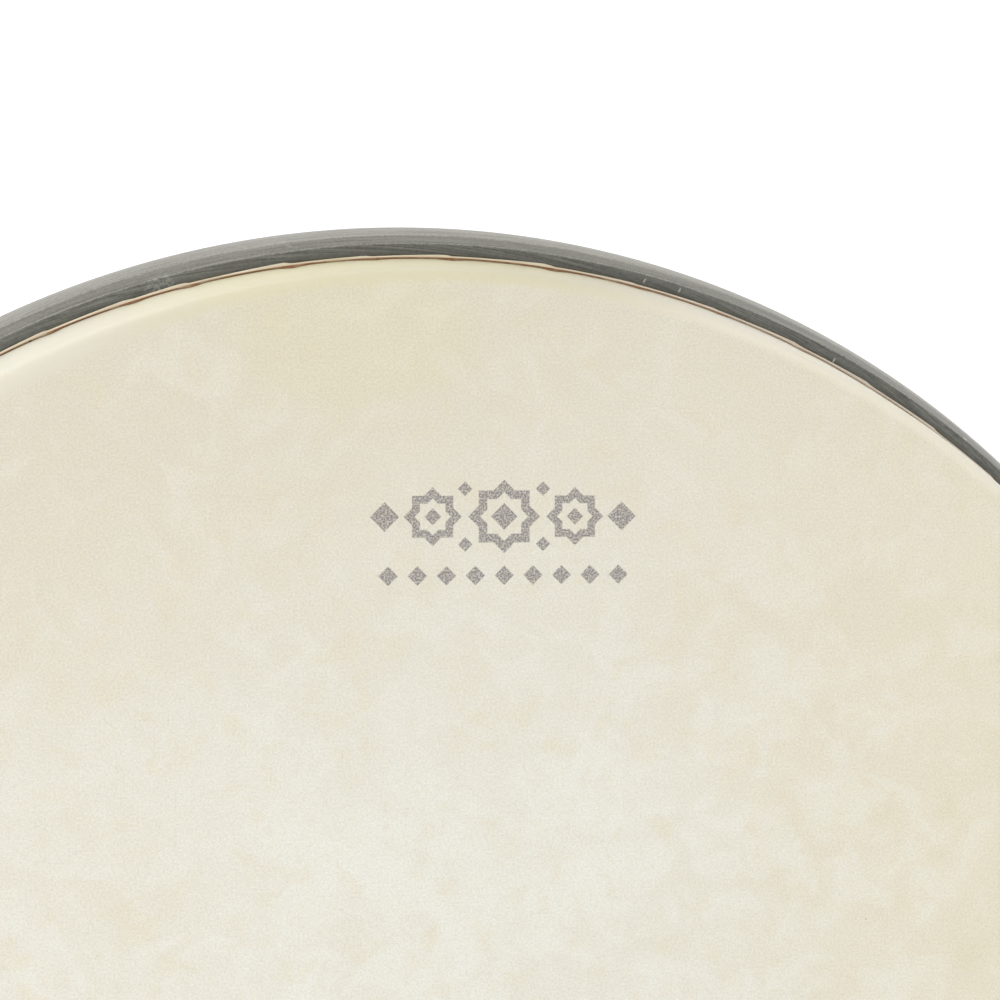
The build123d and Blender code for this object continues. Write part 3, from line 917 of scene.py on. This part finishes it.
def screw_rows():
    """A screw's section, from the bottom of its key recess round the head to the tip."""
    head_top = SCREW_END + SCREW_HEAD
    rows = [
        (AXIS_R, SCREW_END + KEY_DEPTH + KEY_CONE),
        (key_hexagon, SCREW_END + KEY_DEPTH),
        (key_hexagon, SCREW_END + KEY_BEVEL),
        (key_bevel, SCREW_END),
        (SCREW_HEAD_R - SCREW_HEAD_EDGE, SCREW_END),
        (SCREW_HEAD_R - 0.3 * SCREW_HEAD_EDGE, SCREW_END + 0.36 * SCREW_HEAD_EDGE),
        (knurled, SCREW_END + SCREW_HEAD_EDGE),
        (knurled, head_top - SCREW_HEAD_PLAIN - KNURL_RUNOUT),
        (SCREW_HEAD_R, head_top - SCREW_HEAD_PLAIN),
        (SCREW_HEAD_R, head_top - SCREW_HEAD_BEVEL),
        (SCREW_HEAD_R - SCREW_HEAD_BEVEL, head_top),
        (SCREW_R + SCREW_FILLET, head_top),
        (SCREW_R, head_top + SCREW_FILLET),
    ]
    for height in np.arange(head_top + THREAD_START, SCREW_TIP - THREAD_STOP, PITCH / THREAD_ROWS):
        rows.append((threaded(height), height))
    return rows + [(SCREW_R - SCREW_TIP_CUT, SCREW_TIP), (AXIS_R, SCREW_TIP)]


def make_screw(number, material):
    """A socket screw with a real thread, a knurled head and a hexagonal key recess."""
    points, faces = capped(screw_rows(), SCREW_COLUMNS)
    points = points + screw_place(number)
    node = f"tuning_bolt_{number + 1}"
    return mesh_piece(f"socket_screw_{number + 1}", points, faces, node, material, node)


# ---------------------------------------------------------------- body of the drum


def wall_heights(top, base, lines, gap):
    """Heights down a wall, closer together across each turned line."""
    heights = list(np.linspace(top, base, max(2, round((top - base) / gap) + 1)))
    for line in lines:
        heights += list(np.linspace(line + LINE_CUT_R, line - LINE_CUT_R, LINE_POINTS))
    return sorted(set(heights), reverse=True)


def line_cuts(wall, lines, wall_radius):
    """A wall's outline with a round-bottomed line cut at each height."""
    cut = []
    for point in wall:
        for line in lines:
            centre = np.array((wall_radius(line) + LINE_CUT_R - LINE_DEPTH, line))
            gap = np.array(point) - centre
            if np.linalg.norm(gap) < LINE_CUT_R:
                point = tuple(centre + gap / np.linalg.norm(gap) * LINE_CUT_R)
        cut.append(point)
    return cut


def hammer_shift(turn, radius, height):
    """Round hammer marks in staggered rows on the bowl's outer wall."""
    spacing = (HAMMERED_TOP - HAMMERED_BASE) / HAMMER_ROWS
    row = (height - HAMMERED_BASE) / spacing
    stagger = np.floor(row) % 2 / 2
    marks = turn * HAMMER_MARKS / (2 * math.pi) + stagger
    across = (marks % 1 - 0.5) * 2 * math.pi * BOWL_R / HAMMER_MARKS
    up = (row % 1 - 0.5) * spacing
    dent = np.clip(1 - (across**2 + up**2) / (HAMMER_REACH * spacing) ** 2, 0, 1)
    outside = radius > BOWL_R - WALL / 2
    inside_band = (height > HAMMERED_BASE) & (height < HAMMERED_TOP) & outside
    return np.where(inside_band, -HAMMER_DEPTH * dent, 0)


def bowl_outline():
    """The bowl's section: wall with turned lines, shoulder and neck, then back up the inside."""
    heights = wall_heights(BOWL_TOP, BOWL_STRAIGHT_BASE, BOWL_LINES, BOWL_GAP)
    heights += list(np.arange(HAMMERED_BASE, HAMMERED_TOP, HAMMER_STEP))
    wall = [(BOWL_R, height) for height in sorted(set(heights), reverse=True)]
    outside, inside = BOWL_CURVE_STEPS
    outer = line_cuts(wall, BOWL_LINES, lambda height: BOWL_R)
    outer += arc(SHOULDER, SHOULDER_ROUND, 0, -SHOULDER_SWEEP, outside)[1:]
    outer += arc(NECK, NECK_BEND, 180 - SHOULDER_SWEEP, 180, outside)[1:]
    outer += [(NECK_R, BOWL_SPIGOT_END), (NECK_R - WALL, BOWL_SPIGOT_END)]
    inner = arc(NECK, NECK_BEND + WALL, 180, 180 - SHOULDER_SWEEP, inside)
    inner += arc(SHOULDER, SHOULDER_ROUND - WALL, -SHOULDER_SWEEP, 0, inside)[1:]
    return outer + inner + [(BOWL_R - WALL, BOWL_TOP)]


def make_bowl(material):
    points, faces = turned(bowl_outline(), BOWL_COLUMNS, hammer_shift)
    return mesh_piece("spun_bowl", points, faces, "shell", material, "bowl_shell")


def flare_r(height):
    """Outer radius of the foot where it flares."""
    return FLARE[0] - math.sqrt(FLARE_ROUND**2 - (FLARE[1] - height) ** 2)


def foot_outline():
    """The foot's section: straight waist, flare with turned lines and lip, then back up the inside."""
    flare_end = along(FLARE, FLARE_ROUND, 180 + FLARE_SWEEP)
    heights = wall_heights(FOOT_STRAIGHT_BASE, flare_end[1], FOOT_LINES, FOOT_GAP)
    flare = [(flare_r(height), height) for height in heights]
    outside, inside = LIP_STEPS
    outer = [(WAIST_R, FOOT_TOP)] + line_cuts(flare, FOOT_LINES, flare_r)
    outer += arc(LIP, LIP_BEND, FLARE_SWEEP, 0, outside)[1:]
    outer += [(LIP_R, LIP_END), (LIP_R - WALL, LIP_END)]
    inner = arc(LIP, LIP_BEND - WALL, 0, FLARE_SWEEP, inside)
    inner += arc(FLARE, FLARE_ROUND + WALL, 180 + FLARE_SWEEP, 180, FLARE_STEPS)[1:]
    return outer + inner + [(WAIST_R - WALL, FOOT_TOP)]


def make_foot(material):
    points, faces = turned(foot_outline(), FOOT_COLUMNS)
    return mesh_piece("spun_foot", points, faces, "shell", material, "foot_shell")


# ---------------------------------------------------------------- stage, light and camera

FLOOR_REACH = 4000.0
WALL_GAPS = (12, 168, 270)  # bearings of the dark gaps between the studio's walls, in degrees from +X
WALL_TONE = (0.95, 0.95, 0.95)
CEILING_TONE = (0.30, 0.30, 0.31)
GAP_TONE = (0.12, 0.12, 0.13)
SEEN_TONE = (1.0, 1.0, 1.0)

SOFTBOX_SIZE = 0.9
SOFTBOX_TINT = (1.0, 0.99, 0.97)
SOFTBOXES = {  # place and aim in metres, and power
    "left_softbox": ((-1.1, 0.2, 1.3), (0, 0, 0.4), 16.9),
    "right_softbox": ((1.5, -0.4, 0.95), (0, 0, 0.3), 13.4),
}

CAMERA_DISTANCE = 300.0  # from the middle of the head
CAMERA_TILT = math.radians(19.55)  # from straight above it
CAMERA_BEARING = math.radians(-32.1)  # from +Y towards +X
CAMERA_AIM = (6.7, 80.8, HEAD)
CAMERA_LENS = 90.1
CAMERA_SENSOR = 36.0
CAMERA_CLIP = 10.0


def make_floor(material):
    corners = [(-1, -1, 0), (1, -1, 0), (1, 1, 0), (-1, 1, 0)]
    floor = linked_object("floor", np.array(corners) * FLOOR_REACH, [(0, 1, 2, 3)])
    floor.data.materials.append(material)


def make_surroundings():
    """Pale studio walls with darker gaps between them, under a grey ceiling. The camera sees them plain."""
    world = bpy.data.worlds.new("studio")
    bpy.context.scene.world = world
    world.use_nodes = True
    studio = Shading(world.node_tree)
    x, y, z = studio.fields(studio.nodes.new("ShaderNodeTexCoord").outputs["Generated"])
    walls = studio.colours(z, (0.25, WALL_TONE), (0.90, CEILING_TONE))
    for turn in map(math.radians, WALL_GAPS):
        gap = (x * math.cos(turn) + y * math.sin(turn)).rise(0.72, 0.95)
        walls = studio.mix(gap * 0.85, walls, GAP_TONE)
    seen = Field(studio, studio.nodes.new("ShaderNodeLightPath").outputs["Is Camera Ray"])
    walls = studio.mix(seen, walls, SEEN_TONE)
    studio.links.new(walls, studio.nodes["Background"].inputs["Color"])


def add_softbox(name, place, aim, power):
    light = bpy.data.lights.new(name, "AREA")
    light.shape = "DISK"
    light.size = SOFTBOX_SIZE
    light.energy = power
    light.color = SOFTBOX_TINT
    lamp = bpy.data.objects.new(name, light)
    bpy.context.scene.collection.objects.link(lamp)
    lamp.location = place
    lamp.rotation_mode = "QUATERNION"
    lamp.rotation_quaternion = (Vector(aim) - Vector(place)).to_track_quat("-Z", "Y")


def camera_matrix(place, aim):
    """Where the camera stands and how it is turned, with +Y of the drum upwards in the picture."""
    look = (aim - place).normalized()
    right = look.cross(Vector((0, 1, 0))).normalized()
    up = right.cross(look)
    turn = Matrix((right, up, -look)).transposed()
    return Matrix.Translation(place) @ turn.to_4x4()


def add_camera():
    """A close camera over the head, leaning towards its back left."""
    bearing = Vector((math.sin(CAMERA_BEARING), math.cos(CAMERA_BEARING), 0))
    towards = bearing * math.sin(CAMERA_TILT) + Vector((0, 0, math.cos(CAMERA_TILT)))
    data = bpy.data.cameras.new("camera")
    data.lens = CAMERA_LENS
    data.sensor_width = CAMERA_SENSOR
    data.clip_start = CAMERA_CLIP * MM
    camera = bpy.data.objects.new("camera", data)
    bpy.context.scene.collection.objects.link(camera)
    middle = Vector((0, 0, HEAD * MM))
    place = middle + towards * (CAMERA_DISTANCE * MM)
    camera.matrix_world = camera_matrix(place, Vector(CAMERA_AIM) * MM)
    bpy.context.scene.camera = camera


# ---------------------------------------------------------------- making the scene

film = film_material()
resin = resin_material()
hoop_metal = hoop_material()
shell_metal = turned_metal(
    "spun_aluminium",
    dark=(0.27, 0.266, 0.255),
    light=(0.47, 0.465, 0.445),
    roughness=0.33,
    line_scale=1.2,
    line_depth=0.02,
    wear=0.4,
)
band_metal = turned_metal(
    "bright_aluminium",
    dark=(0.42, 0.415, 0.40),
    light=(0.62, 0.615, 0.60),
    roughness=0.25,
    line_scale=2.0,
    line_depth=0.015,
    wear=0.3,
)
rivet_metal = turned_metal(
    "rivet_aluminium",
    dark=(0.32, 0.32, 0.31),
    light=(0.52, 0.52, 0.51),
    roughness=0.30,
    line_scale=1.5,
    line_depth=0.01,
    wear=0.3,
)
steel = steel_material()
rubber = rubber_material()

make_film(film)
make_resin(resin)
make_hoop(hoop_metal)
for number in range(SCREWS):
    make_screw(number, steel)
make_bowl(shell_metal)
make_foot(shell_metal)

finishes = {
    "bearing_ring": shell_metal,
    "flange_rivets": rivet_metal,
    "neck_band": band_metal,
    "neck_rivets": rivet_metal,
    "foot_trim": rubber,
    "bolt_washers": steel,
    "thread_inserts": steel,
}
for node, material in finishes.items():
    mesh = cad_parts[node].data
    mesh.materials.clear()
    mesh.materials.append(material)

make_floor(floor_material())
make_surroundings()
for name, (place, aim, power) in SOFTBOXES.items():
    add_softbox(name, place, aim, power)
add_camera()
bpy.context.scene.view_settings.view_transform = "Standard"
